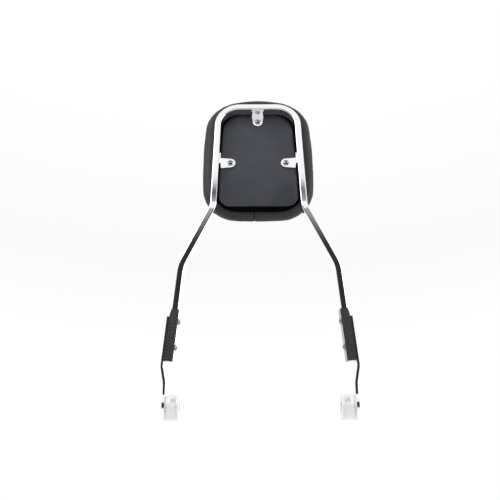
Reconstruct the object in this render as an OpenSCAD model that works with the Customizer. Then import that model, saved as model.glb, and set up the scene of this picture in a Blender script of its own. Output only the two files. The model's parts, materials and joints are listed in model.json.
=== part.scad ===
// Detachable sissy bar: a bent chrome upright with a backrest pad, two side plates and docking clamps.
// Millimetres. X runs across the bike, +Y points forward to the seat, +Z is up.
// The origin is the middle of the docking axis, which runs along X through both clamps.

/* [Upright bar] */
// Width of the bar, seen from behind
bar_w = 11; // [9:0.5:14]
// Depth of the bar, front to back
bar_d = 19; // [14:0.5:24]
// Radius of the bar's long edges
bar_edge_r = 2; // [1:0.25:3]
// Recline of the legs from the vertical
leg_recline = 20; // [12:1:28]
// Recline of the back section from the vertical
back_recline = 8; // [3:1:14]
// Distance along the legs from the docking axis to the bend under the pad
fold_h = 336; // [310:1:380]
// Half the distance between the side bars at the bend under the pad
fold_half = 78; // [72:1:84]
// Distance along the legs from the docking axis to the knee
knee_h = 232; // [215:1:250]
// Half the distance between the legs at the knee
knee_half = 131; // [122:1:138]
// Outward lean of the lower legs
leg_splay = 6; // [4:0.5:8]
// Height of the top bar above the bend under the pad
back_h = 210; // [195:1:230]
// Inward lean of the side bars
back_taper = 1.8; // [0:0.1:3]
// Bend radius of the two top corners, on the bar's centre line
corner_r = 40; // [25:1:50]
// Bend radius under the pad
fold_r = 24; // [16:1:34]
// Bend radius at the knee
knee_r = 55; // [30:1:80]

/* [Pad tabs] */
// Thickness of the three pad tabs
tab_t = 3; // [2:0.25:4]
// Width of a tab at its weld
tab_w = 22; // [18:1:26]
// Radius of a tab's round end
tab_end_r = 9; // [8:0.5:11]
// Gap between the front of the bar and the flat of a tab
tab_step = 1; // [0.5:0.25:3]
// Half the distance between the side tab holes
side_hole_half = 50; // [46:1:54]
// Height of the side tab holes above the bend under the pad
side_hole_h = 98.5; // [85:0.5:112]
// Height of the top tab hole above the bend under the pad
top_hole_h = 189.5; // [182:0.5:191]

/* [Lugs and side plates] */
// Length of a lug along the leg
lug_l = 86; // [74:1:96]
// Distance from the docking axis to the lower end of a lug
lug_h = 72; // [66:1:84]
// Wall of a lug on its inner side
lug_inner_wall = 1.6; // [1.2:0.1:3]
// Wall of a lug on its outer side
lug_outer_wall = 2; // [1.2:0.1:3.5]
// Wall of a lug in front of the bar and behind it
lug_face_wall = 2; // [1.5:0.1:3]
// Length of the slanted shoulder at the top of a lug
lug_shoulder_l = 10; // [6:1:16]
// Distance of the lower lug screw from the lug's lower end
lug_screw_first = 24; // [18:1:30]
// Distance between the two screws of a lug
lug_screw_pitch = 42.5; // [32:0.5:46]
// Thickness of the side plates
plate_t = 4; // [3:0.25:6]
// Distance of the side plate's top below the top of the lug
plate_top_drop = 10; // [6:1:18]
// Half the distance between the outer faces of the side plates at the docking axis
dock_outer_half = 155.5; // [150:0.5:158]
// Distance from the docking axis to the upper bend of a side plate
jog_upper_h = 64; // [58:1:68]
// Distance from the docking axis to the lower bend of a side plate
jog_lower_h = 38; // [32:1:46]
// Bend radius of the side plates, on their middle layer
jog_r = 26; // [12:1:34]
// Reach of the side plate's wing in front of the leg's middle plane
wing_reach = 34; // [24:1:44]
// Distance from the docking axis to the middle of the wing
wing_h = 56; // [50:1:64]
// Length of the wing's front edge
wing_l = 22; // [18:1:30]
// Length of the slope from the wing back up to the strap
wing_slope = 32; // [26:1:40]
// Corner radius of the wing
wing_r = 14; // [6:1:15]
// Corner radius at the top of a side plate
plate_corner_r = 3; // [1:0.5:6]
// Radius of the side plate's round foot
foot_r = 22; // [20:0.5:26]
// Distance from the docking axis to the place where the foot starts at the back
neck_h = 19; // [17:0.5:30]
// Corner radius at the start of the foot
neck_r = 8; // [4:0.5:10]

/* [Docking clamps] */
// Width of a clamp along the docking axis
clamp_w = 22; // [18:0.5:26]
// Radius of a clamp's barrel
clamp_r = 20.5; // [19:0.5:24]
// Width of the outer cheek
outer_cheek_w = 4; // [3:0.5:6]
// Width of the inner cheek
inner_cheek_w = 5.5; // [4:0.5:6.5]
// Step from the barrel down to the cheeks
cheek_step = 2; // [1:0.25:2.5]
// Distance from the docking axis to the flat underside of a clamp
clamp_base_h = 20; // [17:0.5:24]
// Radius of a clamp's lower corners
base_corner_r = 3; // [1:0.5:6]
// Diameter of the docking studs that the clamps hold
stud_d = 15.9; // [12:0.1:18]
// Diameter clearance of the bush on its stud
stud_clear = 0.3; // [0.1:0.05:0.6]
// Wall of the bush round the stud
bush_wall = 3; // [2:0.25:3.5]
// Distance of the plate screws from the docking axis
dock_screw_half = 14.8; // [14.4:0.1:15.4]

/* [Pad] */
// Half the width of the pad at its widest
pad_half = 101.5; // [94:0.5:108]
// Height of the widest place above the bend under the pad
pad_wide_h = 86; // [70:1:100]
// Half the width of the pad at the top, where its sides would meet the top edge
pad_top_half = 95; // [88:1:98]
// Half the width of the pad at the bottom, where its sides would meet the lower edge
pad_bottom_half = 97; // [90:1:100]
// Height of the pad's top edge above the bend under the pad
pad_top_h = 251; // [244:1:262]
// Height of the pad's lower edge above the bend under the pad
pad_bottom_h = -2; // [-6:0.5:4]
// Corner radius at the top of the pad
pad_top_r = 62; // [50:1:70]
// Corner radius at the bottom of the pad
pad_bottom_r = 66; // [54:1:74]
// Depth of the pad from its rear edge to the middle of its crown
cushion_d = 36; // [30:1:44]
// Share of that depth at which the pad is widest
widest_share = 0.38; // [0.3:0.01:0.5]
// Inset of the pad's rear edge
rear_tuck = 10; // [6:0.5:11]
// Inset of the flat middle of the crown
crown_tuck = 50; // [40:1:52]
// Thickness of the vinyl cover
cover_t = 1.5; // [1:0.1:2]
// Thickness of the base board
board_t = 8; // [6:0.5:10]
// Inset of the base board from the pad's outline
board_inset = 13; // [11:1:16]
// Width of the cover's lip on the back of the board
lip_w = 16; // [12:1:20]
// Thickness of the moulded back pan
pan_t = 3; // [2:0.25:3.5]
// Height of the back pan's raised field over its rim
pan_rise = 11.5; // [8:0.5:13]
// Inset of the back pan's rim from the pad's outline at the sides and the top
pan_inset = 17; // [15:0.5:20]
// Inset of the back pan's rim from the pad's lower edge
pan_bottom_inset = 7; // [6:0.5:12]
// Width of the rolled edge between the pan's rim and its flat field
pan_roll_w = 26; // [18:1:30]
// Radius of the bosses behind the three screw holes
boss_r = 8; // [6:0.5:10]

/* [Screws] */
// Shank diameter of the pad screws and the lug screws
screw_d = 6.35; // [5:0.05:8]
// Head diameter of the pad screws and the lug screws
head_d = 11.1; // [9:0.1:12.5]
// Head height of the pad screws and the lug screws
head_h = 3.4; // [2.5:0.1:4.2]
// Height of the straight rim of their heads
head_rim_h = 0.7; // [0.3:0.1:1.2]
// Socket size across the flats
socket_af = 4; // [3:0.1:5]
// Depth of the sockets
socket_depth = 2; // [1.2:0.1:2.4]
// Diameter clearance of the screw holes
hole_clear = 0.4; // [0.2:0.05:0.8]
// Length of a pad screw under its head
pad_screw_l = 23; // [20.5:0.5:23.5]
// Diameter of the screws that hold the clamps to the side plates
dock_screw_d = 4; // [3:0.1:4.4]
// Length of the screws that hold the clamps, from the plate's outer face
dock_screw_l = 16; // [11:1:20]
// Socket size of the clamp screws across the flats
dock_socket_af = 2.1; // [1.6:0.1:2.5]
// Depth of the clamp screws' sockets
dock_socket_depth = 1.6; // [1:0.1:2]
// Diameter of the screws that hold the bushes in the clamps
set_screw_d = 4; // [3:0.1:5]
// Head diameter of the screws that hold the bushes
set_head_d = 8; // [6.5:0.1:9]
// Head height of the screws that hold the bushes
set_head_h = 3.6; // [2.4:0.1:4.4]
// Socket size of the bush screws across the flats
set_socket_af = 3.1; // [2:0.1:4]
// Depth of the bush screws' sockets
set_socket_depth = 2; // [1:0.1:2.2]
// Depth of the pockets for the bush screws' heads, below the back of the clamp
set_seat_depth = 5; // [4:0.1:5.5]
// Distance of a bush screw from its clamp's inner face
set_screw_in = 8.5; // [8:0.1:10]
// Height of a bush screw above the docking axis
set_screw_h = 10.1; // [9.4:0.1:10.8]
// Gap left between a bush screw's tip and the bush
tip_gap = 0.5; // [0.3:0.1:1]
// Diameter of a press nut's flange in the base board
nut_flange_d = 19; // [16:0.5:24]
// Thickness of a press nut's flange
nut_flange_t = 1.5; // [1:0.1:2]
// Wall of a press nut's barrel round its screw
nut_wall = 1.3; // [1:0.1:2]
// Gap between a press nut's barrel and the back of the base board
nut_gap = 0.5; // [0.3:0.1:2]

/* [Hidden] */
$fn = 64;

// Enough to cut cleanly through a face
cut = 1;
// Long enough to reach past the part in any direction
far = 400;
// How much a corner's circle stays inside its two sides, so that it crosses only its chord
corner_give = 0.02;
// How far the bar swells where it is bent, and how far a straight run reaches into its bend
bend_swell = 0.02;
bend_lap = 0.4;
// Thickness of the slices that a soft form is drawn over
slice_t = 0.02;
// How far a solid runs into the next one of the same piece
run_in = 0.5;
// Long enough to reach from the tabs through the base board
board_reach = 60;
// Half the width of the flat at the bottom of a side plate's foot
foot_flat = 0.5;

// Levels in front of the middle plane of the back section
tab_rear = bar_d / 2 + tab_step;
tab_front = tab_rear + tab_t;
rim_level = tab_front + pan_rise;
board_rear = rim_level + cover_t;
board_front = board_rear + board_t;

// Middle planes of the side plate and the places along the lower leg
plate_off = bar_w / 2 + lug_outer_wall + plate_t / 2;
dock_mid_half = dock_outer_half - plate_t / 2;
clamp_outer_half = dock_outer_half - plate_t;
clamp_inner_half = clamp_outer_half - clamp_w;
lug_d = bar_d + 2 * lug_face_wall;
lug_grip = lug_inner_wall + bar_w + lug_outer_wall + plate_t;
bore_r = (stud_d + stud_clear) / 2;
bush_r = bore_r + bush_wall;
knee_to_lug = (knee_h - lug_h) / cos(leg_splay);
back_top_half = fold_half - back_h * tan(back_taper);

// Points of the bar's centre line, from the middle of the top bar down the right side
function leg_point(x, h) = [x, -sin(leg_recline) * h, cos(leg_recline) * h];
function back_point(x, h) = leg_point(0, fold_h) + [x, -sin(back_recline) * h, cos(back_recline) * h];
bar_path = [
    back_point(0, back_h),
    back_point(back_top_half, back_h),
    leg_point(fold_half, fold_h),
    leg_point(knee_half, knee_h),
    leg_point(knee_half + knee_to_lug * sin(leg_splay), lug_h)
];
bar_bends = [0, corner_r, fold_r, knee_r, 0];

// Vector helpers
function unit(v) = v / norm(v);
function path_dir(i) = unit(bar_path[i + 1] - bar_path[i]);
function turn(i) = i == 0 || i == len(bar_path) - 1 ? 0 : acos(path_dir(i - 1) * path_dir(i));
function tangent_len(i) = bar_bends[i] * tan(turn(i) / 2);

// The direction of the bar's width on stretch i, carried round each bend without a twist
function bend_axis(i) = unit(cross(path_dir(i - 1), path_dir(i)));
function spin_about(v, k, a) = v * cos(a) + cross(k, v) * sin(a) + k * (k * v) * (1 - cos(a));
function width_dir(i) = i == 0 ? [0, -sin(back_recline), cos(back_recline)]
    : spin_about(width_dir(i - 1), bend_axis(i), turn(i));

// The angle from the bar's width to the outside of bend i, round the bar
function bend_side(i) =
    let (out_dir = cross(path_dir(i - 1), bend_axis(i)), w = width_dir(i - 1))
    atan2(out_dir * cross(path_dir(i - 1), w), out_dir * w);

// The frame of the legs: Z along the legs, Y forward, origin on the docking axis
module leg_frame() {
    rotate([leg_recline, 0, 0]) children();
}

// The frame of the back section: Z up the section, Y forward, origin between the bends under the pad
module back_frame() {
    translate(leg_point(0, fold_h)) rotate([back_recline, 0, 0]) children();
}

// The frame of the lower right leg: Z up the leg, X outward, origin at the lug's lower end
module lug_frame() {
    leg_frame()
        translate([knee_half + knee_to_lug * sin(leg_splay), 0, lug_h])
            rotate([0, -leg_splay, 0]) children();
}

// A right-hand piece on its own side, or its mirror image on the left
module on_side(right) {
    mirror([right ? 0 : 1, 0, 0]) children();
}

// The bar's section, a rectangle with round corners, width along X, and how far it stands out all round
module bar_section(swell) {
    square([bar_w - 2 * bar_edge_r, bar_d + 2 * swell], center = true);
    square([bar_w + 2 * swell, bar_d - 2 * bar_edge_r], center = true);
    for (x = [-1, 1], y = [-1, 1])
        translate([x * (bar_w / 2 - bar_edge_r), y * (bar_d / 2 - bar_edge_r)])
            circle(r = bar_edge_r + swell);
}

// The bar from stretch i on, as a straight run, a bend and what follows, each in the last one's frame
// Z runs along the bar, X across its width, and the last stretch runs past its end by a length
module bar_from(i, past) {
    run = norm(bar_path[i + 1] - bar_path[i]) - tangent_len(i) - tangent_len(i + 1);
    last = i == len(bar_path) - 2;
    first = i == 0;
    translate([0, 0, first ? 0 : -bend_lap])
        linear_extrude(height = run + (first ? 0 : bend_lap) + (last ? past : bend_lap)) bar_section(0);
    if (!last) {
        r = bar_bends[i + 1];
        side = bend_side(i + 1);
        angle = turn(i + 1);
        translate([0, 0, run]) rotate([0, 0, side]) translate([-r, 0, 0]) {
            rotate([90, 0, 0]) rotate_extrude(angle = angle)
                translate([r, 0]) rotate(side) bar_section(bend_swell);
            rotate([0, -angle, 0]) translate([r, 0, 0]) rotate([0, 0, -side]) bar_from(i + 1, past);
        }
    }
}

// Half of the bar, from the middle of the top bar down to the right lug
module right_bar(past) {
    back_frame() translate([0, 0, back_h]) rotate([0, 90, 0]) rotate([0, 0, 180]) bar_from(0, past);
}

module whole_bar() {
    right_bar(0);
    mirror([1, 0, 0]) right_bar(0);
}

// The two lug screw places of the right leg, with X outward along the screw
module at_lug_screws() {
    lug_frame()
        for (h = [lug_screw_first, lug_screw_first + lug_screw_pitch])
            translate([-bar_w / 2 - lug_inner_wall, 0, h]) rotate([0, 90, 0]) children();
}

module lug_screw_holes(d) {
    at_lug_screws() translate([0, 0, -cut]) cylinder(d = d, h = lug_grip + 2 * cut);
}

module upright_bar() {
    color("gainsboro")
        difference() {
            whole_bar();
            lug_screw_holes(screw_d + hole_clear);
            mirror([1, 0, 0]) lug_screw_holes(screw_d + hole_clear);
        }
}

// An outline with round corners: the straight sides as a polygon, the corners as circles
// A hollow or a very blunt corner has no radius
function corner_in(p, i) = unit(p[(i + len(p) - 1) % len(p)] - p[i]);
function corner_out(p, i) = unit(p[(i + 1) % len(p)] - p[i]);
function corner_half(p, i) = acos(corner_in(p, i) * corner_out(p, i)) / 2;
function corner_cut(p, r, i) = r[i] / tan(corner_half(p, i));
function corner_mid(p, r, i) =
    p[i] + unit(corner_in(p, i) + corner_out(p, i)) * r[i] / sin(corner_half(p, i));
module round_outline(p, r) {
    polygon([for (i = [0 : len(p) - 1], side = [0, 1])
        p[i] + (side == 0 ? corner_in(p, i) : corner_out(p, i)) * corner_cut(p, r, i)]);
    for (i = [0 : len(p) - 1]) if (r[i] > 0) translate(corner_mid(p, r, i)) circle(r = r[i] - corner_give);
}

// A tab's flat outline: square at the weld on X = 0, narrowing to a round end about its hole at X = reach
module tab_outline(reach) {
    lean = asin((tab_w / 2 - tab_end_r) / reach);
    top = [reach + tab_end_r * sin(lean), tab_end_r * cos(lean)];
    polygon([[0, -tab_w / 2], [top[0], -top[1]], top, [0, tab_w / 2]]);
    translate([reach, 0]) circle(r = tab_end_r);
}

// A tab with its weld face on X = 0 and its hole along Y, bent forward past the bar
module tab(reach) {
    weld_rear = -bar_d / 2 + 2 * bar_edge_r;
    bend_r = tab_t;
    difference() {
        union() {
            translate([0, weld_rear, -tab_w / 2]) cube([tab_t, tab_front - bend_r - weld_rear, tab_w]);
            translate([bend_r, tab_front - bend_r, -tab_w / 2])
                intersection() {
                    cylinder(r = bend_r, h = tab_w);
                    translate([-bend_r, 0, 0]) cube([bend_r, bend_r, tab_w]);
                }
            translate([0, tab_front, 0]) rotate([90, 0, 0])
                linear_extrude(height = tab_t)
                    intersection() {
                        tab_outline(reach);
                        translate([bend_r, -tab_w]) square([reach + tab_w, 2 * tab_w]);
                    }
        }
        translate([reach, tab_front + cut, 0]) rotate([90, 0, 0])
            cylinder(d = screw_d + hole_clear, h = tab_t + 2 * cut);
    }
}

// Half the clear width between the side bars at a height of the back section
function inner_half(h) = fold_half - h * tan(back_taper) - bar_w / 2 / cos(back_taper);

module top_tab() {
    drop = back_h - bar_w / 2;
    color("white") back_frame() translate([0, 0, drop]) rotate([0, 90, 0]) tab(drop - top_hole_h);
}

// A side tab, its weld face trimmed to the lean of the bar
module side_tab(right) {
    reach = inner_half(side_hole_h - tab_w / 2) - side_hole_half;
    color("white") on_side(right) back_frame()
        difference() {
            translate([side_hole_half + reach, 0, side_hole_h]) mirror([1, 0, 0]) tab(reach);
            translate([fold_half - bar_w / 2 / cos(back_taper), 0, 0]) rotate([0, -back_taper, 0])
                translate([0, -far / 2, -far / 2]) cube(far);
        }
}
module left_tab() { side_tab(false); }
module right_tab() { side_tab(true); }

// A lug: a sleeve over the bar's end with a slanted shoulder on its outer side
module lug(right) {
    inner = -bar_w / 2 - lug_inner_wall;
    outer = bar_w / 2 + lug_outer_wall;
    color("dimgray") on_side(right)
        difference() {
            lug_frame() translate([0, lug_d / 2, 0]) rotate([90, 0, 0])
                linear_extrude(height = lug_d)
                    polygon([[inner, 0], [outer, 0], [outer, lug_l - lug_shoulder_l],
                        [bar_w / 2, lug_l], [inner, lug_l]]);
            right_bar(cut);
            lug_screw_holes(screw_d + hole_clear);
        }
}
module left_lug() { lug(false); }
module right_lug() { lug(true); }

// The side plate's bent strip, seen from behind: its middle layer, with an arc at each of the two bends
function strip_x(h) = knee_half + (knee_h - h) * tan(leg_splay) + plate_off / cos(leg_splay);
strip_top_h = lug_h + lug_l * cos(leg_splay) - plate_top_drop;
jog_lean = atan((strip_x(jog_upper_h) - dock_mid_half) / (jog_upper_h - jog_lower_h));
jog_steps = 8;

// Points round a bend at a corner, from one lean to the next, on a face offset outward by off
function jog_arc(corner, lean_a, lean_b, off) =
    let (
        way = sign(lean_b - lean_a),
        reach = jog_r * tan(abs(lean_b - lean_a) / 2),
        start = corner + reach * [-sin(lean_a), cos(lean_a)],
        mid = start + way * jog_r * [cos(lean_a), sin(lean_a)]
    )
    [for (k = [0 : jog_steps])
        let (lean = lean_a + (lean_b - lean_a) * k / jog_steps)
        mid + (off - way * jog_r) * [cos(lean), sin(lean)]];
function strip_face(off) = concat(
    [[strip_x(strip_top_h + cut), strip_top_h + cut] + off * [cos(leg_splay), sin(leg_splay)]],
    jog_arc([strip_x(jog_upper_h), jog_upper_h], leg_splay, -jog_lean, off),
    jog_arc([dock_mid_half, jog_lower_h], -jog_lean, 0, off),
    [[dock_mid_half + off, -foot_r - cut]]
);
function backwards(v) = [for (i = [len(v) - 1 : -1 : 0]) v[i]];
module strip_profile() {
    polygon(concat(strip_face(plate_t / 2), backwards(strip_face(-plate_t / 2))));
}

// The side plate's outline, seen from the side: a strap with a forward wing and a round foot
plate_rear = lug_d / 2;
module plate_outline() {
    round_outline([
        [-foot_r, -foot_r], [foot_r, -foot_r],
        [wing_reach, wing_h - wing_l / 2], [wing_reach, wing_h + wing_l / 2],
        [plate_rear, wing_h + wing_l / 2 + wing_slope], [plate_rear, strip_top_h], [-plate_rear, strip_top_h],
        [-plate_rear, neck_h], [-foot_r, neck_h - foot_r + plate_rear]
    ], [
        foot_r - foot_flat, foot_r - foot_flat, wing_r, wing_r, 0,
        plate_corner_r, plate_corner_r, 0, neck_r
    ]);
}

module at_clamp_screws() {
    leg_frame()
        for (y = [-1, 1])
            translate([dock_outer_half, y * dock_screw_half, 0]) rotate([0, -90, 0]) children();
}

// A countersunk screw's outside, from its head's face inward
module flat_screw(d) {
    cylinder(d1 = 2 * d, d2 = d, h = d / 2);
    cylinder(d = d, h = dock_screw_l);
}

module side_plate(right) {
    color("gainsboro") on_side(right)
        difference() {
            leg_frame() intersection() {
                translate([0, far / 2, 0]) rotate([90, 0, 0]) linear_extrude(height = far) strip_profile();
                rotate([90, 0, 90]) linear_extrude(height = far) plate_outline();
            }
            lug_screw_holes(screw_d);
            leg_frame() rotate([0, 90, 0]) cylinder(r = bore_r, h = far);
            at_clamp_screws() flat_screw(dock_screw_d);
        }
}
module left_side_plate() { side_plate(false); }
module right_side_plate() { side_plate(true); }

// A hexagonal socket along Z that starts a little outside its face, on Z = cut
module hex_socket(flats, depth) {
    cylinder(d = flats / cos(30), h = depth + cut, $fn = 6);
}

// A button-head screw along Z, with the underside of its head on Z = 0 and its head below
module button_screw(length) {
    dome_h = head_h - head_rim_h;
    dome_r = (pow(head_d / 2, 2) + pow(dome_h, 2)) / (2 * dome_h);
    difference() {
        union() {
            cylinder(d = screw_d, h = length);
            rotate([180, 0, 0]) {
                cylinder(d = head_d, h = head_rim_h);
                intersection() {
                    translate([0, 0, head_h - dome_r]) sphere(r = dome_r);
                    translate([0, 0, head_rim_h]) cylinder(d = head_d, h = dome_h);
                }
            }
        }
        translate([0, 0, -head_h - cut]) hex_socket(socket_af, socket_depth);
    }
}

module lug_screw(right, index) {
    color("silver") on_side(right) lug_frame()
        translate([-bar_w / 2 - lug_inner_wall, 0, lug_screw_first + index * lug_screw_pitch])
            rotate([0, 90, 0]) button_screw(lug_grip);
}
module left_upper_lug_screw() { lug_screw(false, 1); }
module left_lower_lug_screw() { lug_screw(false, 0); }
module right_upper_lug_screw() { lug_screw(true, 1); }
module right_lower_lug_screw() { lug_screw(true, 0); }

// One disc of a clamp, with a round top and a flat underside on square lower corners
module clamp_disc(r, w) {
    rotate([90, 0, 90]) linear_extrude(height = w) {
        intersection() {
            circle(r = r);
            translate([-r - cut, 0]) square(2 * r + 2 * cut);
        }
        translate([-r, -clamp_base_h + base_corner_r]) square([2 * r, clamp_base_h - base_corner_r]);
        translate([-r + base_corner_r, -clamp_base_h]) square([2 * (r - base_corner_r), base_corner_r]);
        for (y = [-1, 1])
            translate([y * (r - base_corner_r), -clamp_base_h + base_corner_r]) circle(r = base_corner_r);
    }
}

// The place of a bush screw, with Z forward from the seat of its head
set_screw_seat = sqrt(pow(clamp_r, 2) - pow(set_screw_h - set_head_d / 2, 2)) - set_seat_depth;
set_screw_l = set_screw_seat - sqrt(pow(bush_r, 2) - pow(set_screw_h - set_screw_d / 2, 2)) - tip_gap;
module at_bush_screw() {
    leg_frame() translate([clamp_inner_half + set_screw_in, -set_screw_seat, set_screw_h])
        rotate([-90, 0, 0]) children();
}

module docking_clamp(right) {
    color("white") on_side(right)
        difference() {
            leg_frame() translate([clamp_inner_half, 0, 0]) {
                clamp_disc(clamp_r - cheek_step, clamp_w);
                translate([inner_cheek_w, 0, 0]) clamp_disc(clamp_r, clamp_w - inner_cheek_w - outer_cheek_w);
            }
            leg_frame() rotate([0, 90, 0]) cylinder(r = bush_r, h = far);
            at_clamp_screws() cylinder(d = dock_screw_d, h = dock_screw_l + cut);
            at_bush_screw() cylinder(d = set_screw_d, h = set_screw_l);
            at_bush_screw() translate([0, 0, -set_seat_depth - cut])
                cylinder(d = set_head_d + 2 * hole_clear, h = set_seat_depth + cut);
        }
}
module left_docking_clamp() { docking_clamp(false); }
module right_docking_clamp() { docking_clamp(true); }

module docking_bush(right) {
    color("whitesmoke") on_side(right) leg_frame()
        translate([clamp_inner_half, 0, 0]) rotate([0, 90, 0])
            difference() {
                cylinder(r = bush_r, h = clamp_w);
                translate([0, 0, -cut]) cylinder(r = bore_r, h = clamp_w + 2 * cut);
            }
}
module left_docking_bush() { docking_bush(false); }
module right_docking_bush() { docking_bush(true); }

module bush_screw(right) {
    color("silver") on_side(right) at_bush_screw() {
        cylinder(d = set_screw_d, h = set_screw_l);
        difference() {
            translate([0, 0, -set_head_h]) cylinder(d = set_head_d, h = set_head_h);
            translate([0, 0, -set_head_h - cut]) hex_socket(set_socket_af, set_socket_depth);
        }
    }
}
module left_bush_screw() { bush_screw(false); }
module right_bush_screw() { bush_screw(true); }

module clamp_screws(right) {
    color("silver") on_side(right) at_clamp_screws()
        difference() {
            flat_screw(dock_screw_d);
            translate([0, 0, -cut]) hex_socket(dock_socket_af, dock_socket_depth);
        }
}
module left_clamp_screws() { clamp_screws(false); }
module right_clamp_screws() { clamp_screws(true); }

// The pad's outline in the back section, drawn in by an inset and, at its lower edge, by its own inset
module pad_outline(inset, lower_inset) {
    round_outline([
        [-pad_bottom_half + inset, pad_bottom_h + lower_inset],
        [pad_bottom_half - inset, pad_bottom_h + lower_inset],
        [pad_half - inset, pad_wide_h],
        [pad_top_half - inset, pad_top_h - inset],
        [-pad_top_half + inset, pad_top_h - inset],
        [-pad_half + inset, pad_wide_h]
    ], [
        pad_bottom_r - inset, pad_bottom_r - inset, 0,
        pad_top_r - inset, pad_top_r - inset, 0
    ]);
}

// A thin slice of the pad at a level in front of the back section's middle plane
module pad_slice(level, inset, lower_inset) {
    translate([0, level, 0]) rotate([90, 0, 0])
        linear_extrude(height = slice_t, center = true) pad_outline(inset, lower_inset, $fn = 40);
}

// The cushion's full form, or the space inside its cover when drawn in by a skin
// Each step is a share of the depth and the inset there, from the rear edge round the side to the crown
cushion_steps = concat(
    [for (u = [1 : -0.25 : 0.25]) [widest_share * (1 - u), rear_tuck * pow(u, 3)]],
    [for (a = [0 : 11.25 : 90])
        [widest_share + (1 - widest_share) * sin(a), crown_tuck * (1 - pow(1 - pow(sin(a), 2.5), 0.4))]]
);
module cushion(skin) {
    depth = cushion_d - 2 * skin;
    hull() for (s = cushion_steps)
        pad_slice(rim_level + skin + s[0] * depth, s[1] + skin, s[1] + skin);
}

// The three pad screw places, with Z forward from the back of the tabs
module at_pad_screw(x, h) {
    back_frame() translate([x, tab_rear, h]) rotate([-90, 0, 0]) children();
}
pad_screw_places = [[0, top_hole_h], [-side_hole_half, side_hole_h], [side_hole_half, side_hole_h]];

// The pan's form in steps from its flat field to its rim: a share of the roll and of the rise
pan_roll = [for (a = [0 : 15 : 90]) [1 - sin(a), 1 - cos(a)]];
module pan_form(skin, depth) {
    back_frame() hull() for (s = pan_roll)
        pad_slice(tab_front + skin + s[1] * depth,
            pan_inset + skin + s[0] * pan_roll_w,
            pan_bottom_inset + skin + s[0] * pan_roll_w);
}

module back_pan() {
    color("#2b2c30") difference() {
        union() {
            difference() {
                pan_form(0, pan_rise);
                pan_form(pan_t, pan_rise - pan_t + cut);
            }
            for (p = pad_screw_places)
                at_pad_screw(p[0], p[1]) translate([0, 0, tab_t + pan_t - run_in])
                    cylinder(r = boss_r, h = board_rear - tab_front - pan_t + run_in);
        }
        for (p = pad_screw_places)
            at_pad_screw(p[0], p[1]) cylinder(d = screw_d + hole_clear, h = board_reach);
    }
}

module base_board() {
    color("burlywood") difference() {
        back_frame() translate([0, board_front, 0]) rotate([90, 0, 0])
            linear_extrude(height = board_t) pad_outline(board_inset, board_inset);
        for (p = pad_screw_places)
            at_pad_screw(p[0], p[1]) cylinder(d = screw_d + 2 * nut_wall, h = board_reach);
    }
}

module press_nut(place) {
    color("silver") at_pad_screw(place[0], place[1]) difference() {
        translate([0, 0, board_rear - tab_rear]) {
            translate([0, 0, nut_gap]) cylinder(d = screw_d + 2 * nut_wall, h = board_t - nut_gap);
            translate([0, 0, board_t]) cylinder(d = nut_flange_d, h = nut_flange_t);
        }
        cylinder(d = screw_d, h = board_reach);
    }
}
module top_press_nut() { press_nut(pad_screw_places[0]); }
module left_press_nut() { press_nut(pad_screw_places[1]); }
module right_press_nut() { press_nut(pad_screw_places[2]); }

module pad_screw(place) {
    color("silver") at_pad_screw(place[0], place[1]) button_screw(pad_screw_l);
}
module top_pad_screw() { pad_screw(pad_screw_places[0]); }
module left_pad_screw() { pad_screw(pad_screw_places[1]); }
module right_pad_screw() { pad_screw(pad_screw_places[2]); }

module pad_foam() {
    color("khaki") difference() {
        back_frame() difference() {
            cushion(cover_t);
            translate([0, board_front, 0]) rotate([90, 0, 0])
                linear_extrude(height = board_t + cut) pad_outline(board_inset, board_inset);
        }
        for (p = pad_screw_places)
            at_pad_screw(p[0], p[1]) cylinder(d = nut_flange_d, h = board_front - tab_rear + nut_flange_t);
    }
}

module pad_cover() {
    color("#3a3b3f") back_frame() difference() {
        cushion(0);
        cushion(cover_t);
        translate([0, board_rear, 0]) rotate([90, 0, 0])
            linear_extrude(height = cover_t + cut) pad_outline(board_inset + lip_w, board_inset + lip_w);
        for (p = pad_screw_places)
            translate([p[0], tab_rear, p[1]]) rotate([-90, 0, 0])
                cylinder(r = boss_r + hole_clear, h = board_rear - tab_rear);
    }
}

upright_bar();
top_tab();
left_tab();
right_tab();
left_lug();
right_lug();
left_side_plate();
right_side_plate();
left_upper_lug_screw();
left_lower_lug_screw();
right_upper_lug_screw();
right_lower_lug_screw();
left_docking_clamp();
right_docking_clamp();
left_docking_bush();
right_docking_bush();
left_bush_screw();
right_bush_screw();
left_clamp_screws();
right_clamp_screws();
back_pan();
base_board();
pad_foam();
pad_cover();
top_pad_screw();
left_pad_screw();
right_pad_screw();
top_press_nut();
left_press_nut();
right_press_nut();
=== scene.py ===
import json
from math import sin, cos, radians, pi
import bmesh
import bpy
from mathutils import Matrix, Vector
from mathutils.bvhtree import BVHTree


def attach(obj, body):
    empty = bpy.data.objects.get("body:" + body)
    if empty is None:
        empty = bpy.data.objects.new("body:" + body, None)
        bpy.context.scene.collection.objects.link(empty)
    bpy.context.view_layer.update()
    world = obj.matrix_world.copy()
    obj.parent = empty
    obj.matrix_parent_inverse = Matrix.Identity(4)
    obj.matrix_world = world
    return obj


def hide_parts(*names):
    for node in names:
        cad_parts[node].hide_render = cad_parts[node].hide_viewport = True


# Sissy bar in metres: X across the bike, +Y forward to the seat, +Z up, origin on the docking axis
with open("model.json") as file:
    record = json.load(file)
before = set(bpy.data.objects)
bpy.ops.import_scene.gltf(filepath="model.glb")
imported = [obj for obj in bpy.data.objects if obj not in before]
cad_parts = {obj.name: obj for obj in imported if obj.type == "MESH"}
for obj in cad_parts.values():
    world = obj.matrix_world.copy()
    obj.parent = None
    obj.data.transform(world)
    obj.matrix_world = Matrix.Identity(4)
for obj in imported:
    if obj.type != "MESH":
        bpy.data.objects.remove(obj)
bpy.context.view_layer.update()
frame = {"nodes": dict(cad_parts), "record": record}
nodes = frame["nodes"]
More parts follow.
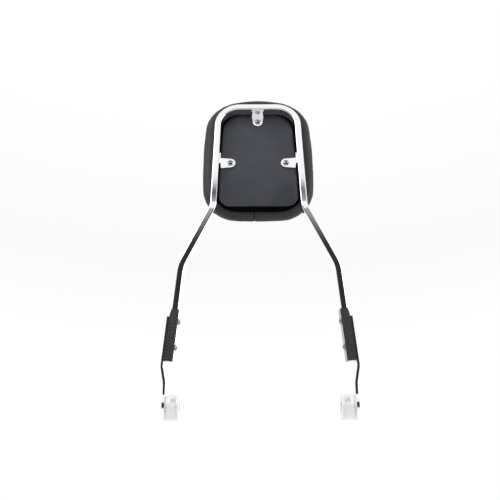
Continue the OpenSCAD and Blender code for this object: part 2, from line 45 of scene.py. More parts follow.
scene = bpy.context.scene
mm = 0.001
print("frame loaded:", len(nodes), "nodes")

# where the back section stands: x across, y forward from the bar's middle plane, z up the section, all in mm
section = {"foldHeight": 336, "legRecline": 20, "backRecline": 8}
legLean = radians(section["legRecline"])
backToPart = (
    Matrix.Translation(Vector((0, -sin(legLean), cos(legLean))) * section["foldHeight"] * mm)
    @ Matrix.Rotation(radians(section["backRecline"]), 4, "X")
    @ Matrix.Scale(mm, 4)
)

# camera: behind and below the object, looking up along the reclined back section
view = {
    "place": (-0.0154, -1.060, -0.436),
    "tilt": 35.0,       # degrees above level
    "roll": 0.27,       # the object's top leans left by this much
    "lens": 50.4,       # 36 mm sensor, 700 pixels of focal length on 500
}


def aimCamera():
    tilt, roll = radians(view["tilt"]), radians(view["roll"])
    ahead = Vector((0, cos(tilt), sin(tilt)))
    above = Vector((0, -sin(tilt), cos(tilt)))
    across = Vector((1, 0, 0))
    right = across * cos(roll) - above * sin(roll)
    up = above * cos(roll) + across * sin(roll)
    camera = bpy.data.objects.new("camera", bpy.data.cameras.new("camera"))
    camera.data.lens = view["lens"]
    camera.data.sensor_width = 36
    camera.data.clip_start = 0.01
    turn = Matrix((right, up, -ahead)).transposed().to_4x4()
    camera.matrix_world = Matrix.Translation(view["place"]) @ turn
    scene.collection.objects.link(camera)
    scene.camera = camera


aimCamera()
print("camera set")


# small helpers

def linearColour(code):
    # sRGB hex to the linear values that sockets take
    shares = [int(code[i:i + 2], 16) / 255 for i in (1, 3, 5)]
    return [s / 12.92 if s <= 0.04045 else ((s + 0.055) / 1.055) ** 2.4 for s in shares] + [1.0]


def addNode(tree, kind, settings=None, links=None):
    node = tree.nodes.new(kind)
    for key, value in (settings or {}).items():
        if isinstance(key, int) or key in node.inputs:
            node.inputs[key].default_value = value
        else:
            setattr(node, key, value)
    for key, source in (links or {}).items():
        tree.links.new(source, node.inputs[key])
    return node


def newMaterial(name):
    material = bpy.data.materials.new(name)
    material.use_nodes = True
    tree = material.node_tree
    tree.nodes.clear()
    place = addNode(tree, "ShaderNodeTexCoord").outputs["Object"]
    shader = addNode(tree, "ShaderNodeBsdfPrincipled")
    addNode(tree, "ShaderNodeOutputMaterial", links={"Surface": shader.outputs[0]})
    return material, tree, place, shader


def feedShader(tree, shader, rough, tone=None, bump=None):
    # roughness, and colour and relief where a material has them
    tree.links.new(rough.outputs[0], shader.inputs["Roughness"])
    if tone:
        tree.links.new(tone, shader.inputs["Base Color"])
    if bump:
        tree.links.new(bump.outputs[0], shader.inputs["Normal"])


def perMetre(size):
    # pattern scale for a feature of this many millimetres
    return 1000 / size


def rampNode(tree, source, stops):
    node = addNode(tree, "ShaderNodeValToRGB", links={"Fac": source})
    ramp = node.color_ramp
    while len(ramp.elements) < len(stops):
        ramp.elements.new(0.5)
    for element, (position, colour) in zip(ramp.elements, stops):
        element.position = position
        element.color = colour
    return node.outputs["Color"]


def grey(value):
    return (value, value, value, 1)


# materials

def chromePlate():
    # bright chrome on polished steel: a mirror with faint buffing marks and a slightly hazy, uneven polish
    look = {"tone": "#F6F7F8", "haze": 22, "buffing": 1.2}
    material, tree, place, shader = newMaterial("brightChromePlate")
    shader.inputs["Base Color"].default_value = linearColour(look["tone"])
    shader.inputs["Metallic"].default_value = 1.0
    haze = addNode(tree, "ShaderNodeTexNoise",
        {"Scale": perMetre(look["haze"]), "Detail": 4.0, "Roughness": 0.6}, {"Vector": place})
    polish = addNode(tree, "ShaderNodeMapRange",
        {"From Min": 0.3, "From Max": 0.7, "To Min": 0.03, "To Max": 0.06}, {"Value": haze.outputs["Fac"]})
    along = addNode(tree, "ShaderNodeMapping", {"Scale": (1.0, 1.0, 0.06)}, {"Vector": place})
    marks = addNode(tree, "ShaderNodeTexNoise",
        {"Scale": perMetre(look["buffing"]), "Detail": 3.0, "Roughness": 0.7}, {"Vector": along.outputs[0]})
    bump = addNode(tree, "ShaderNodeBump", {"Strength": 0.05, "Distance": 0.0002},
        {"Height": marks.outputs["Fac"]})
    tree.links.new(polish.outputs[0], shader.inputs["Roughness"])
    tree.links.new(bump.outputs[0], shader.inputs["Normal"])
    return material


def brushedChromePlate():
    # chrome over a brushed steel sleeve: soft glints drawn out by the brushing, slightly cloudy
    look = {"dull": "#8C8E91", "bright": "#98999C", "patch": 9, "brushing": 0.8}
    material, tree, place, shader = newMaterial("brushedChromePlate")
    shader.inputs["Metallic"].default_value = 0.97
    patches = addNode(tree, "ShaderNodeTexNoise",
        {"Scale": perMetre(look["patch"]), "Detail": 6.0, "Roughness": 0.65}, {"Vector": place})
    tone = rampNode(tree, patches.outputs["Fac"],
        [(0.38, linearColour(look["dull"])), (0.72, linearColour(look["bright"]))])
    rough = addNode(tree, "ShaderNodeMapRange",
        {"From Min": 0.3, "From Max": 0.75, "To Min": 0.3, "To Max": 0.22}, {"Value": patches.outputs["Fac"]})
    along = addNode(tree, "ShaderNodeMapping", {"Scale": (1.0, 0.08, 1.0)}, {"Vector": place})
    lines = addNode(tree, "ShaderNodeTexNoise",
        {"Scale": perMetre(look["brushing"]), "Detail": 2.0}, {"Vector": along.outputs[0]})
    bump = addNode(tree, "ShaderNodeBump", {"Strength": 0.02, "Distance": 0.0001},
        {"Height": lines.outputs["Fac"]})
    feedShader(tree, shader, rough, tone, bump)
    return material


def tumbledAluminium():
    # cast aluminium, tumbled to a pale even satin: fine pits from the casting, no tool lines
    look = {"tone": "#EDEEEF", "shade": "#E3E4E6", "pit": 1.1, "cloud": 14}
    material, tree, place, shader = newMaterial("tumbledCastAluminium")
    shader.inputs["Metallic"].default_value = 0.15
    clouds = addNode(tree, "ShaderNodeTexNoise",
        {"Scale": perMetre(look["cloud"]), "Detail": 5.0}, {"Vector": place})
    tone = rampNode(tree, clouds.outputs["Fac"],
        [(0.3, linearColour(look["shade"])), (0.6, linearColour(look["tone"]))])
    rough = addNode(tree, "ShaderNodeMapRange",
        {"From Min": 0.3, "From Max": 0.7, "To Min": 0.3, "To Max": 0.42}, {"Value": clouds.outputs["Fac"]})
    pits = addNode(tree, "ShaderNodeTexNoise",
        {"Scale": perMetre(look["pit"]), "Detail": 5.0, "Roughness": 0.7}, {"Vector": place})
    bump = addNode(tree, "ShaderNodeBump", {"Strength": 0.15, "Distance": 0.0002},
        {"Height": pits.outputs["Fac"]})
    feedShader(tree, shader, rough, tone, bump)
    return material


def turnedNylon():
    # natural nylon, turned: milky, slightly waxy, faint rings from the tool
    look = {"tone": "#E8E5DC", "ring": 0.7}
    material, tree, place, shader = newMaterial("turnedNaturalNylon")
    shader.inputs["Base Color"].default_value = linearColour(look["tone"])
    shader.inputs["IOR"].default_value = 1.53
    shader.inputs["Subsurface Weight"].default_value = 0.15
    shader.inputs["Subsurface Scale"].default_value = 0.002
    rings = addNode(tree, "ShaderNodeTexWave",
        {"Scale": perMetre(look["ring"]) / 20, "Distortion": 0.4, "bands_direction": "X"}, {"Vector": place})
    rough = addNode(tree, "ShaderNodeMapRange", {"To Min": 0.42, "To Max": 0.52},
        {"Value": rings.outputs["Fac"]})
    bump = addNode(tree, "ShaderNodeBump", {"Strength": 0.1, "Distance": 0.0001},
        {"Height": rings.outputs["Fac"]})
    feedShader(tree, shader, rough, bump=bump)
    return material


def chromedFastener():
    # chromed alloy steel button heads: bright, a little softer than the bar, with small handling marks
    look = {"tone": "#9A9C9F", "mark": 1.6}
    material, tree, place, shader = newMaterial("chromedFastenerSteel")
    shader.inputs["Base Color"].default_value = linearColour(look["tone"])
    shader.inputs["Metallic"].default_value = 1.0
    marks = addNode(tree, "ShaderNodeTexNoise",
        {"Scale": perMetre(look["mark"]), "Detail": 4.0, "Roughness": 0.7}, {"Vector": place})
    rough = addNode(tree, "ShaderNodeMapRange",
        {"From Min": 0.35, "From Max": 0.7, "To Min": 0.12, "To Max": 0.26}, {"Value": marks.outputs["Fac"]})
    bump = addNode(tree, "ShaderNodeBump", {"Strength": 0.06, "Distance": 0.0001},
        {"Height": marks.outputs["Fac"]})
    feedShader(tree, shader, rough, bump=bump)
    return material


def zincPlate():
    # bright zinc on pressed steel: cool grey with small crystalline patches
    look = {"pale": "#F4F5F6", "dull": "#E2E4E6", "crystal": 1.8}
    material, tree, place, shader = newMaterial("brightZincPlate")
    shader.inputs["Metallic"].default_value = 0.25
    crystals = addNode(tree, "ShaderNodeTexVoronoi", {"Scale": perMetre(look["crystal"])}, {"Vector": place})
    tone = rampNode(tree, crystals.outputs["Distance"],
        [(0.1, linearColour(look["dull"])), (0.7, linearColour(look["pale"]))])
    rough = addNode(tree, "ShaderNodeMapRange", {"To Min": 0.28, "To Max": 0.42},
        {"Value": crystals.outputs["Distance"]})
    feedShader(tree, shader, rough, tone)
    return material


def mouldedPolypropylene():
    # black moulded plastic with a fine spark-eroded grain: slate grey where it catches the light
    # the grain is drawn coarser than the real 0.3 mm
    # the near black last tone is painted shade for the rolled border
    look = {"tone": "#2E3039", "worn": "#373942", "paintedBorderShade": "#08080A", "grain": 0.9, "cloud": 45}
    material, tree, place, shader = newMaterial("mouldedBlackPolypropylene")
    shader.inputs["IOR"].default_value = 1.49
    clouds = addNode(tree, "ShaderNodeTexNoise",
        {"Scale": perMetre(look["cloud"]), "Detail": 3.0}, {"Vector": place})
    tone = rampNode(tree, clouds.outputs["Fac"],
        [(0.35, linearColour(look["tone"])), (0.7, linearColour(look["worn"]))])
    grain = addNode(tree, "ShaderNodeTexNoise",
        {"Scale": perMetre(look["grain"]), "Detail": 3.0, "Roughness": 0.6}, {"Vector": place})
    rough = addNode(tree, "ShaderNodeMapRange",
        {"From Min": 0.3, "From Max": 0.7, "To Min": 0.42, "To Max": 0.52}, {"Value": grain.outputs["Fac"]})
    bump = addNode(tree, "ShaderNodeBump", {"Strength": 0.14, "Distance": 0.0002},
        {"Height": grain.outputs["Fac"]})
    # painted shade: the rolled border is coloured near black, darker than the field, with no specular, standing
    # in for the shade and dark reflections under and beside the bar; told apart by the level over the bar
    forward = backToPart.to_3x3() @ Vector((0, 1000, 0))
    start = backToPart.translation.dot(forward)
    level = addNode(tree, "ShaderNodeVectorMath", {"operation": "DOT_PRODUCT", 1: forward[:]}, {0: place})
    paintedBorderShade = addNode(tree, "ShaderNodeMapRange",
        {"From Min": start + 13.51 * mm, "From Max": start + 14.0 * mm}, {"Value": level.outputs["Value"]})
    fieldAndPaintedShade = addNode(tree, "ShaderNodeMix", {"data_type": "RGBA", 7: linearColour(look["paintedBorderShade"])},
        {0: paintedBorderShade.outputs[0], 6: tone})
    sheen = addNode(tree, "ShaderNodeMapRange", {"To Min": 0.5, "To Max": 0.0}, {"Value": paintedBorderShade.outputs[0]})
    tree.links.new(fieldAndPaintedShade.outputs[2], shader.inputs["Base Color"])
    tree.links.new(sheen.outputs[0], shader.inputs["Specular IOR Level"])
    feedShader(tree, shader, rough, bump=bump)
    return material


def birchPlywood():
    # birch plywood: pale thin layers, alternate ones darker on the cut edge
    look = {"pale": "#C9A877", "dark": "#9C7448", "layer": 1.4}
    material, tree, place, shader = newMaterial("birchPlywood")
    laid = addNode(tree, "ShaderNodeMapping", {"Rotation": (radians(8), 0, 0), "Scale": (0.02, 1.0, 0.02)},
        {"Vector": place})
    layers = addNode(tree, "ShaderNodeTexNoise",
        {"Scale": perMetre(look["layer"]), "Detail": 3.0}, {"Vector": laid.outputs[0]})
    tone = rampNode(tree, layers.outputs["Fac"],
        [(0.4, linearColour(look["dark"])), (0.6, linearColour(look["pale"]))])
    rough = addNode(tree, "ShaderNodeMapRange", {"To Min": 0.55, "To Max": 0.75},
        {"Value": layers.outputs["Fac"]})
    feedShader(tree, shader, rough, tone)
    return material


def upholsteryFoam():
    # open-cell polyurethane foam: straw yellow, dull, pitted by its cells
    look = {"tone": "#D9CC96", "cell": 1.5}
    material, tree, place, shader = newMaterial("openCellFoam")
    shader.inputs["Base Color"].default_value = linearColour(look["tone"])
    cells = addNode(tree, "ShaderNodeTexVoronoi", {"Scale": perMetre(look["cell"])}, {"Vector": place})
    rough = addNode(tree, "ShaderNodeMapRange", {"To Min": 0.8, "To Max": 0.95},
        {"Value": cells.outputs["Distance"]})
    bump = addNode(tree, "ShaderNodeBump", {"Strength": 0.4, "Distance": 0.0004},
        {"Height": cells.outputs["Distance"]})
    feedShader(tree, shader, rough, bump=bump)
    return material


def grainedVinyl():
    # black expanded vinyl, calendered with a small leather grain: soft broad sheen, with painted shade
    # darkening the grain's creases
    look = {"tone": "#2B2C2F", "paintedCreaseShade": "#161617", "grain": 1.3, "cloud": 30,
        "joint": -7.5, "jointHalf": 1.0}
    material, tree, place, shader = newMaterial("grainedBlackVinyl")
    shader.inputs["IOR"].default_value = 1.53
    shader.inputs["Specular IOR Level"].default_value = 0.25
    shader.inputs["Coat Weight"].default_value = 0.03
    shader.inputs["Coat Roughness"].default_value = 0.5
    grain = addNode(tree, "ShaderNodeTexVoronoi",
        {"feature": "DISTANCE_TO_EDGE", "Scale": perMetre(look["grain"]), "Randomness": 1.0}, {"Vector": place})
    pebble = addNode(tree, "ShaderNodeMapRange", {"From Min": 0.0, "From Max": 0.18},
        {"Value": grain.outputs[0]})
    # painted shade: the low crease lines of the grain are coloured darker than the vinyl
    tone = rampNode(tree, pebble.outputs[0],
        [(0.0, linearColour(look["paintedCreaseShade"])), (0.5, linearColour(look["tone"]))])
    clouds = addNode(tree, "ShaderNodeTexNoise",
        {"Scale": perMetre(look["cloud"]), "Detail": 3.0}, {"Vector": place})
    rough = addNode(tree, "ShaderNodeMapRange",
        {"From Min": 0.3, "From Max": 0.7, "To Min": 0.40, "To Max": 0.52}, {"Value": clouds.outputs["Fac"]})
    bump = addNode(tree, "ShaderNodeBump", {"Strength": 0.22, "Distance": 0.00025},
        {"Height": pebble.outputs[0]})
    # the side band's ends meet under the pad in a narrow dark gap
    parts = addNode(tree, "ShaderNodeSeparateXYZ", links={0: place})
    across = addNode(tree, "ShaderNodeMath",
        {"operation": "COMPARE", 1: look["joint"] * mm, 2: look["jointHalf"] * mm}, {0: parts.outputs["X"]})
    upward = backToPart.to_3x3() @ Vector((0, 0, 1000))
    height = addNode(tree, "ShaderNodeVectorMath", {"operation": "DOT_PRODUCT", 1: upward[:]}, {0: place})
    low = addNode(tree, "ShaderNodeMath",
        {"operation": "LESS_THAN", 1: backToPart.translation.dot(upward) + 30 * mm},
        {0: height.outputs["Value"]})
    gap = addNode(tree, "ShaderNodeMath", {"operation": "MULTIPLY"}, {0: across.outputs[0], 1: low.outputs[0]})
    sewn = addNode(tree, "ShaderNodeMix", {"data_type": "RGBA", 7: grey(0.001)}, {0: gap.outputs[0], 6: tone})
    feedShader(tree, shader, rough, sewn.outputs[2], bump)
    return material


def bondedThread():
    # bonded nylon thread, twisted: black with a dull gloss and a visible lay
    look = {"tone": "#1D1D1E", "lay": 0.6}
    material, tree, place, shader = newMaterial("bondedNylonThread")
    shader.inputs["Base Color"].default_value = linearColour(look["tone"])
    lay = addNode(tree, "ShaderNodeTexWave",
        {"Scale": perMetre(look["lay"]) / 20, "bands_direction": "DIAGONAL"}, {"Vector": place})
    rough = addNode(tree, "ShaderNodeMapRange", {"To Min": 0.38, "To Max": 0.6}, {"Value": lay.outputs["Fac"]})
    bump = addNode(tree, "ShaderNodeBump", {"Strength": 0.3, "Distance": 0.0001},
        {"Height": lay.outputs["Fac"]})
    feedShader(tree, shader, rough, bump=bump)
    return material


chrome, brushed, castMetal, nylon = chromePlate(), brushedChromePlate(), tumbledAluminium(), turnedNylon()
fastener, zinc, plastic, plywood = chromedFastener(), zincPlate(), mouldedPolypropylene(), birchPlywood()
foam, vinyl, thread = upholsteryFoam(), grainedVinyl(), bondedThread()

slotLooks = {"chrome": chrome, "lug": brushed, "clamp": castMetal, "bush": nylon, "screw": fastener,
    "nut": zinc, "pan": plastic, "board": plywood, "foam": foam, "cover": vinyl}
for part in frame["record"]["subparts"]:
    for slot in nodes[part["node"]].material_slots:
        slot.material = slotLooks[part["material_slot"]]
# the small screws in the clamps are zinc plated, not chromed
for name in ("left_bush_screw", "right_bush_screw", "left_clamp_screws", "right_clamp_screws"):
    for slot in nodes[name].material_slots:
        slot.material = zinc
print("materials on", len(nodes), "nodes")


# mesh helpers

def finishMesh(bm, name, material, smooth=True):
    # from the back section's millimetres to the part's metres, as a piece at the origin
    bmesh.ops.transform(bm, matrix=backToPart, verts=bm.verts)
    mesh = bpy.data.meshes.new(name)
    for face in bm.faces:
        face.smooth = smooth
    bm.to_mesh(mesh)
    bm.free()
    mesh.materials.append(material)
    piece = bpy.data.objects.new(name, mesh)
    scene.collection.objects.link(piece)
    return piece


def keepModifiers(piece):
    # the evaluated mesh becomes the piece's own
    mesh = bpy.data.meshes.new_from_object(piece.evaluated_get(bpy.context.evaluated_depsgraph_get()))
    piece.modifiers.clear()
    piece.data = mesh


def roundedLoop(bm, corners, cuts, level, segments):
    # a closed outline in the plane y = level: few corners, each rounded by a vertex bevel
    verts = [bm.verts.new((x, level, h)) for x, h in corners]
    bm.faces.new(verts)
    for vert, cut in zip(verts, cuts):
        bmesh.ops.bevel(bm, geom=[vert], offset=cut, offset_type="OFFSET", segments=segments,
            profile=0.5, affect="VERTICES", material=-1)
    return max((f for f in bm.faces if all(abs(v.co.y - level) < 1e-4 for v in f.verts)),
        key=lambda f: f.calc_area())


def loftLoops(bm, loops, segments):
    # bridge the outlines one after the other; the first and the last stay as end faces
    faces = [roundedLoop(bm, corners, cuts, level, segments) for corners, cuts, level in loops]
    edges = [list(face.edges) for face in faces]
    for face in faces[1:-1]:
        bmesh.ops.delete(bm, geom=[face], context="FACES_ONLY")
    for first, second in zip(edges, edges[1:]):
        bmesh.ops.bridge_loops(bm, edges=first + second)
    bmesh.ops.recalc_face_normals(bm, faces=bm.faces)


# pad cover: a foam-filled vinyl cushion

cushion = {
    "wideHalf": 103.5, "wideHeight": 86, "topHalf": 98, "bottomHalf": 99, "top": 263, "bottom": -6,
    "shoulderDrop": 18, "heelRise": 4, "topRadius": 68, "bottomRadius": 64,
    "wideCut": 26, "crestCut": 30, "heelCut": 25,
    "rear": 25, "depth": 42, "widestShare": 0.38, "rearTuck": 10, "crownTuck": 50,
    "shrink": 1.6,        # the pad swells back by about this much
    "voxel": 5.5, "pressure": 4.0, "frames": 18, "cap": 5.0,
    "joinX": -7.5,        # the side band's joint, left of the middle
    "frontSeam": 55.9,    # level of the seam round the front panel
    "grooveHalf": 2.0, "grooveDepth": 1.3,
    "stitch": 4.2, "stitchLong": 3.0, "stitchThick": 0.5,
}


def cushionCorners(inset):
    # half of the outline from the middle of the lower edge to the crest, then its mirror image
    c = cushion
    right = [(c["bottomHalf"] - inset, c["bottom"] + c["heelRise"] + inset),
        (c["wideHalf"] - inset, c["wideHeight"]),
        (c["topHalf"] - inset, c["top"] - c["shoulderDrop"] - inset)]
    left = [(-x, h) for x, h in reversed(right)]
    return [(0, c["bottom"] + inset)] + right + [(0, c["top"] - inset)] + left


def cushionCuts(inset):
    c = cushion
    bottomCut = (c["bottomRadius"] - inset) * 0.91
    topCut = (c["topRadius"] - inset) * 0.785
    return (c["heelCut"], bottomCut, c["wideCut"], topCut, c["crestCut"], topCut, c["wideCut"], bottomCut)


def cushionLoops():
    c = cushion
    steps = [(c["widestShare"] * (1 - u), c["rearTuck"] * u ** 3) for u in (1, 0.75, 0.5, 0.25)]
    for k in range(9):
        s = sin(radians(11.25 * k))
        steps.append((c["widestShare"] + (1 - c["widestShare"]) * s,
            c["crownTuck"] * (1 - max(0, 1 - s ** 2.5) ** 0.4)))
    loops = []
    for share, inset in steps:
        inset += c["shrink"]
        level = c["rear"] + share * (c["depth"] - c["shrink"])
        loops.append((cushionCorners(inset), cushionCuts(inset), level))
    return loops


def inflate(piece, held):
    # foam pressing out against the vinyl; what lies on the base board stays put
    piece.vertex_groups.new(name="onBoard").add(held, 1.0, "REPLACE")
    cloth = piece.modifiers.new("stuffing", "CLOTH")
    cloth.settings.quality = 6
    cloth.settings.mass = 0.4
    cloth.settings.tension_stiffness = 25
    cloth.settings.compression_stiffness = 25
    cloth.settings.shear_stiffness = 15
    cloth.settings.bending_stiffness = 2
    cloth.settings.use_pressure = True
    cloth.settings.uniform_pressure_force = cushion["pressure"]
    cloth.settings.vertex_group_mass = "onBoard"
    cloth.settings.effector_weights.gravity = 0
    cloth.point_cache.frame_start = 1
    cloth.point_cache.frame_end = cushion["frames"]
    for step in range(1, cushion["frames"] + 1):
        scene.frame_set(step)
    keepModifiers(piece)
    scene.frame_set(1)


def makeCushion():
    bm = bmesh.new()
    loftLoops(bm, cushionLoops(), 10)
    piece = finishMesh(bm, "padCushion", vinyl)
    remesh = piece.modifiers.new("even", "REMESH")
    remesh.mode = "VOXEL"
    remesh.voxel_size = cushion["voxel"] * mm
    keepModifiers(piece)
    toBack = backToPart.inverted()
    start = [v.co.copy() for v in piece.data.vertices]
    held = [v.index for v in piece.data.vertices if (toBack @ v.co).y < cushion["rear"] + 3]
    inflate(piece, held)
    for vert, before in zip(piece.data.vertices, start):
        moved = vert.co - before
        if moved.length > cushion["cap"] * mm:
            vert.co = before + moved.normalized() * cushion["cap"] * mm
    smooth = piece.modifiers.new("smooth", "SUBSURF")
    smooth.levels = smooth.render_levels = 2
    keepModifiers(piece)
    piece.data.materials.clear()
    piece.data.materials.append(vinyl)
    for polygon in piece.data.polygons:
        polygon.use_smooth = True
    sewGrooves(piece)
    return piece


def sewGrooves(piece):
    # the sewn lines pull the vinyl in: one round the front panel, one where the side band's ends meet
    c = cushion
    toBack = backToPart.inverted()
    normals = [v.normal.copy() for v in piece.data.vertices]
    for vert, normal in zip(piece.data.vertices, normals):
        place = toBack @ vert.co
        pull = max(0.0, 1 - (abs(place.y - c["frontSeam"]) / c["grooveHalf"]) ** 2)
        if place.z < 30 and place.y < c["frontSeam"]:
            pull = max(pull, 1 - (abs(place.x - c["joinX"]) / c["grooveHalf"]) ** 2)
        if pull > 0:
            vert.co -= normal * c["grooveDepth"] * mm * pull


padCushion = makeCushion()
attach(padCushion, "root")
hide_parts("pad_cover", "pad_foam")
print("cushion:", len(padCushion.data.polygons), "faces")


def makeStitches():
    # one row of stitches on the front panel, just inside its seam, each a short rounded length of thread
    c = cushion
    tree = BVHTree.FromPolygons([v.co for v in padCushion.data.vertices],
        [p.vertices for p in padCushion.data.polygons])
    outline = bmesh.new()
    face = roundedLoop(outline, cushionCorners(12), cushionCuts(12), c["frontSeam"] + 3.5, 16)
    corners = [loop.vert.co.copy() for loop in face.loops]
    outline.free()
    points, spare = [], 0.0
    for a, b in zip(corners, corners[1:] + corners[:1]):
        length = (b - a).length
        while spare < length:
            points.append(a.lerp(b, spare / length))
            spare += c["stitch"]
        spare -= length
    bm = bmesh.new()
    for point, after in zip(points, points[1:] + points[:1]):
        centre = Vector((0, c["frontSeam"], (c["top"] + c["bottom"]) / 2))
        aim = (point - centre).normalized() * 20
        start, end = backToPart @ (point + aim), backToPart @ centre
        hit, normal, index, far = tree.ray_cast(start, (end - start).normalized())
        if hit is None:
            continue
        run = (backToPart.to_3x3() @ (after - point)).normalized()
        side = normal.cross(run).normalized()
        basis = Matrix((run, side, normal)).transposed().to_4x4()
        sizes = Matrix.Diagonal((c["stitchLong"] / 2 * mm, c["stitchThick"] * mm, c["stitchThick"] * mm, 1))
        place = Matrix.Translation(hit + normal * 0.15 * mm) @ basis @ sizes
        bmesh.ops.create_icosphere(bm, subdivisions=1, radius=1, matrix=place)
    bmesh.ops.recalc_face_normals(bm, faces=bm.faces)
    bmesh.ops.transform(bm, matrix=backToPart.inverted(), verts=bm.verts)
    return finishMesh(bm, "frontSeamStitches", thread)


stitches = makeStitches()
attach(stitches, "root")
print("stitches:", len(stitches.data.polygons), "faces")


# back pan: a moulded tray with a raised field, rolled down to its rim

pan = {
    "rimBottomHalf": 80, "rimTopHalf": 78, "rimWideHalf": 84.5, "rimTop": 234, "rimBottom": 5,
    "rimBottomCut": 45, "rimTopCut": 43,
    "fieldBottomHalf": 67, "fieldTopHalf": 57, "fieldWideHalf": 64, "fieldTop": 200, "fieldBottom": 11,
    "fieldBottomCut": 14, "fieldTopCut": 34,
    "wideHeight": 86, "wideCut": 20,
    "field": 13.5, "rim": 25, "steps": 10,
}


def panLoops():
    p = pan
    loops = []
    for k in range(p["steps"] + 1):
        angle = radians(90 * k / p["steps"])
        out, down = sin(angle), 1 - cos(angle)
        bottomHalf = p["fieldBottomHalf"] + (p["rimBottomHalf"] - p["fieldBottomHalf"]) * out
        topHalf = p["fieldTopHalf"] + (p["rimTopHalf"] - p["fieldTopHalf"]) * out
        wideHalf = p["fieldWideHalf"] + (p["rimWideHalf"] - p["fieldWideHalf"]) * out
        top = p["fieldTop"] + (p["rimTop"] - p["fieldTop"]) * out
        bottom = p["fieldBottom"] + (p["rimBottom"] - p["fieldBottom"]) * out
        bottomCut = p["fieldBottomCut"] + (p["rimBottomCut"] - p["fieldBottomCut"]) * out
        topCut = p["fieldTopCut"] + (p["rimTopCut"] - p["fieldTopCut"]) * out
        corners = [(-bottomHalf, bottom), (bottomHalf, bottom), (wideHalf, p["wideHeight"]),
            (topHalf, top), (-topHalf, top), (-wideHalf, p["wideHeight"])]
        level = p["field"] + (p["rim"] - p["field"]) * down
        loops.append((corners, (bottomCut, bottomCut, p["wideCut"], topCut, topCut, p["wideCut"]), level))
    return loops


def makePan():
    bm = bmesh.new()
    loftLoops(bm, panLoops(), 10)
    return finishMesh(bm, "mouldedBackPan", plastic)


backPan = makePan()
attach(backPan, "root")
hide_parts("back_pan")
print("pan:", len(backPan.data.polygons), "faces")


# weld beads round the roots of the three tabs

weld = {"radius": 0.9, "ripple": 0.22, "pitch": 1.6, "step": 0.5, "legRear": -5.5, "tabHalf": 10}


def makeBead(name, corners):
    # a rippled bead along a path in the back section's millimetres
    path = []
    for a, b in zip(corners, corners[1:]):
        count = max(2, int((b - a).length / weld["step"]))
        path += [a.lerp(b, k / count) for k in range(count)]
    path.append(corners[-1])
    curve = bpy.data.curves.new(name, "CURVE")
    curve.dimensions = "3D"
    curve.bevel_depth = weld["radius"] * mm
    curve.bevel_resolution = 3
    curve.use_fill_caps = True
    spline = curve.splines.new("POLY")
    spline.points.add(len(path) - 1)
    for k, (point, target) in enumerate(zip(spline.points, path)):
        point.co = (*(backToPart @ target), 1)
        swell = abs(sin(pi * k * weld["step"] / weld["pitch"]))
        ends = min(1.0, (min(k, len(path) - 1 - k) + 1) / 4)
        point.radius = (1 - weld["ripple"] + weld["ripple"] * swell) * ends
    tube = bpy.data.objects.new(name + "Path", curve)
    scene.collection.objects.link(tube)
    mesh = bpy.data.meshes.new_from_object(tube.evaluated_get(bpy.context.evaluated_depsgraph_get()))
    bpy.data.objects.remove(tube)
    for polygon in mesh.polygons:
        polygon.use_smooth = True
    mesh.materials.clear()
    mesh.materials.append(chrome)
    bead = bpy.data.objects.new(name, mesh)
    scene.collection.objects.link(bead)
    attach(bead, "root")
    return bead


def beadCorners(toPlace):
    # along the rear edge of a tab's foot
    return [toPlace(weld["tabHalf"], weld["legRear"]), toPlace(-weld["tabHalf"], weld["legRear"])]


barInner = {"half": 78, "halfWidth": 5.5, "taper": 1.8, "sideHeight": 98.5, "topHeight": 210}
taperSlope = sin(radians(barInner["taper"]))


def sidePlace(way):
    def place(along, level):
        height = barInner["sideHeight"] + along
        half = barInner["half"] - height * taperSlope - barInner["halfWidth"] - 0.4
        return Vector((way * half, level, height))
    return place


makeBead("topTabWeld", beadCorners(lambda along, level:
    Vector((along, level, barInner["topHeight"] - barInner["halfWidth"] - 0.4))))
makeBead("leftTabWeld", beadCorners(sidePlace(-1)))
makeBead("rightTabWeld", beadCorners(sidePlace(1)))
print("weld beads made")


# light, world and floor

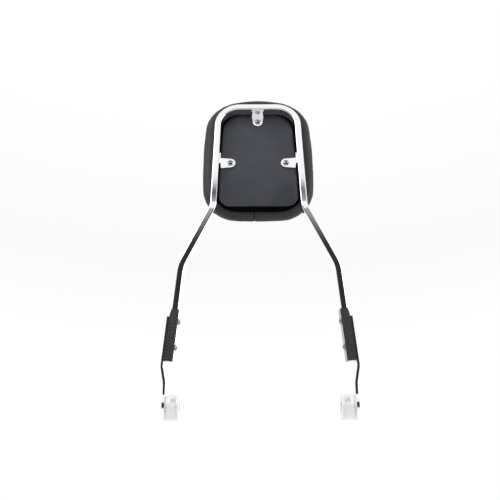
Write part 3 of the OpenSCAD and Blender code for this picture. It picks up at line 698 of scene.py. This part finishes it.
def surroundings():
    # white studio; metal also sees a dark band low behind the camera, as in a real studio
    world = bpy.data.worlds.new("studio")
    scene.world = world
    world.use_nodes = True
    tree = world.node_tree
    tree.nodes.clear()
    direction = addNode(tree, "ShaderNodeTexCoord").outputs["Generated"]
    split = addNode(tree, "ShaderNodeSeparateXYZ", links={0: direction})
    height = addNode(tree, "ShaderNodeMapRange", {"From Min": -1.0, "From Max": 1.0},
        {"Value": split.outputs["Z"]})
    slate = (0.060, 0.065, 0.102, 1)
    rows = [(-1.0, grey(0.9)), (-0.80, grey(0.9)), (-0.55, grey(0.03)), (-0.024, grey(0.03)),
        (-0.012, grey(0.07)), (0.002, grey(0.18)), (0.014, grey(0.30)), (0.12, grey(1.0)), (0.385, grey(1.0)),
        (0.393, slate), (0.409, slate), (0.417, grey(1.0))]
    band = rampNode(tree, height.outputs[0], [((z + 1) / 2, tone) for z, tone in rows])
    behind = addNode(tree, "ShaderNodeMapRange",
        {"From Min": -0.35, "From Max": -0.62, "To Min": 0.0, "To Max": 1.0}, {"Value": split.outputs["Y"]})
    seen = addNode(tree, "ShaderNodeMix", {"data_type": "RGBA", 6: grey(1.0)},
        {0: behind.outputs[0], 7: band})
    rays = addNode(tree, "ShaderNodeLightPath")
    # painted shade: camera rays see a white page with a faint grey band at middle heights, standing in for soft
    # shade on the wall behind the pad
    wallWithPaintedShade = rampNode(tree, height.outputs[0], [(0.73, grey(1.0)), (0.78, grey(0.955)), (0.86, grey(1.0))])
    soft = addNode(tree, "ShaderNodeBackground", {"Color": grey(0.82)})
    mirror = addNode(tree, "ShaderNodeBackground", links={"Color": seen.outputs[2]})
    page = addNode(tree, "ShaderNodeBackground", links={"Color": wallWithPaintedShade})
    first = addNode(tree, "ShaderNodeMixShader",
        links={0: rays.outputs["Is Glossy Ray"], 1: soft.outputs[0], 2: mirror.outputs[0]})
    second = addNode(tree, "ShaderNodeMixShader",
        links={0: rays.outputs["Is Camera Ray"], 1: first.outputs[0], 2: page.outputs[0]})
    addNode(tree, "ShaderNodeOutputWorld", links={"Surface": second.outputs[0]})


def softLamp(name, place, target, size, power):
    lamp = bpy.data.objects.new(name, bpy.data.lights.new(name, "AREA"))
    lamp.data.size = size
    lamp.data.energy = power
    aim = (Vector(target) - Vector(place)).to_track_quat("-Z", "Y")
    lamp.matrix_world = Matrix.Translation(place) @ aim.to_matrix().to_4x4()
    scene.collection.objects.link(lamp)


def layFloor():
    # pale floor under the hanging part, fading into the white page at its edge
    ground = {"radius": 1.5, "height": -0.62, "fade": 1.0}
    bm = bmesh.new()
    bmesh.ops.create_circle(bm, cap_ends=True, segments=96, radius=ground["radius"],
        matrix=Matrix.Translation((0, 0, ground["height"])))
    mesh = bpy.data.meshes.new("floor")
    bm.to_mesh(mesh)
    bm.free()
    material, tree, place, shader = newMaterial("paleStudioFloor")
    shader.inputs["Base Color"].default_value = linearColour("#F2F2F0")
    shader.inputs["Roughness"].default_value = 0.9
    level = addNode(tree, "ShaderNodeMapping", {"Location": (0, 0, -ground["height"])}, {"Vector": place})
    far = addNode(tree, "ShaderNodeVectorMath", {"operation": "LENGTH"}, {0: level.outputs[0]})
    fade = addNode(tree, "ShaderNodeMapRange", {"From Min": ground["fade"], "From Max": ground["radius"]},
        {"Value": far.outputs["Value"]})
    clear = addNode(tree, "ShaderNodeBsdfTransparent")
    mixed = addNode(tree, "ShaderNodeMixShader",
        links={0: fade.outputs[0], 1: shader.outputs[0], 2: clear.outputs[0]})
    tree.links.new(mixed.outputs[0], tree.nodes["Material Output"].inputs["Surface"])
    mesh.materials.append(material)
    floor = bpy.data.objects.new("floor", mesh)
    scene.collection.objects.link(floor)


surroundings()
softLamp("keyLamp", (-1.3, -1.5, 1.3), (0, 0, 0.3), 1.2, 16)
softLamp("fillLamp", (1.6, -0.6, 0.6), (0, 0, 0.3), 1.0, 8)
softLamp("frontLamp", (0.6, 1.8, 1.4), (0, 0, 0.35), 1.2, 14)
layFloor()
scene.view_settings.view_transform = "Standard"
print("studio set")
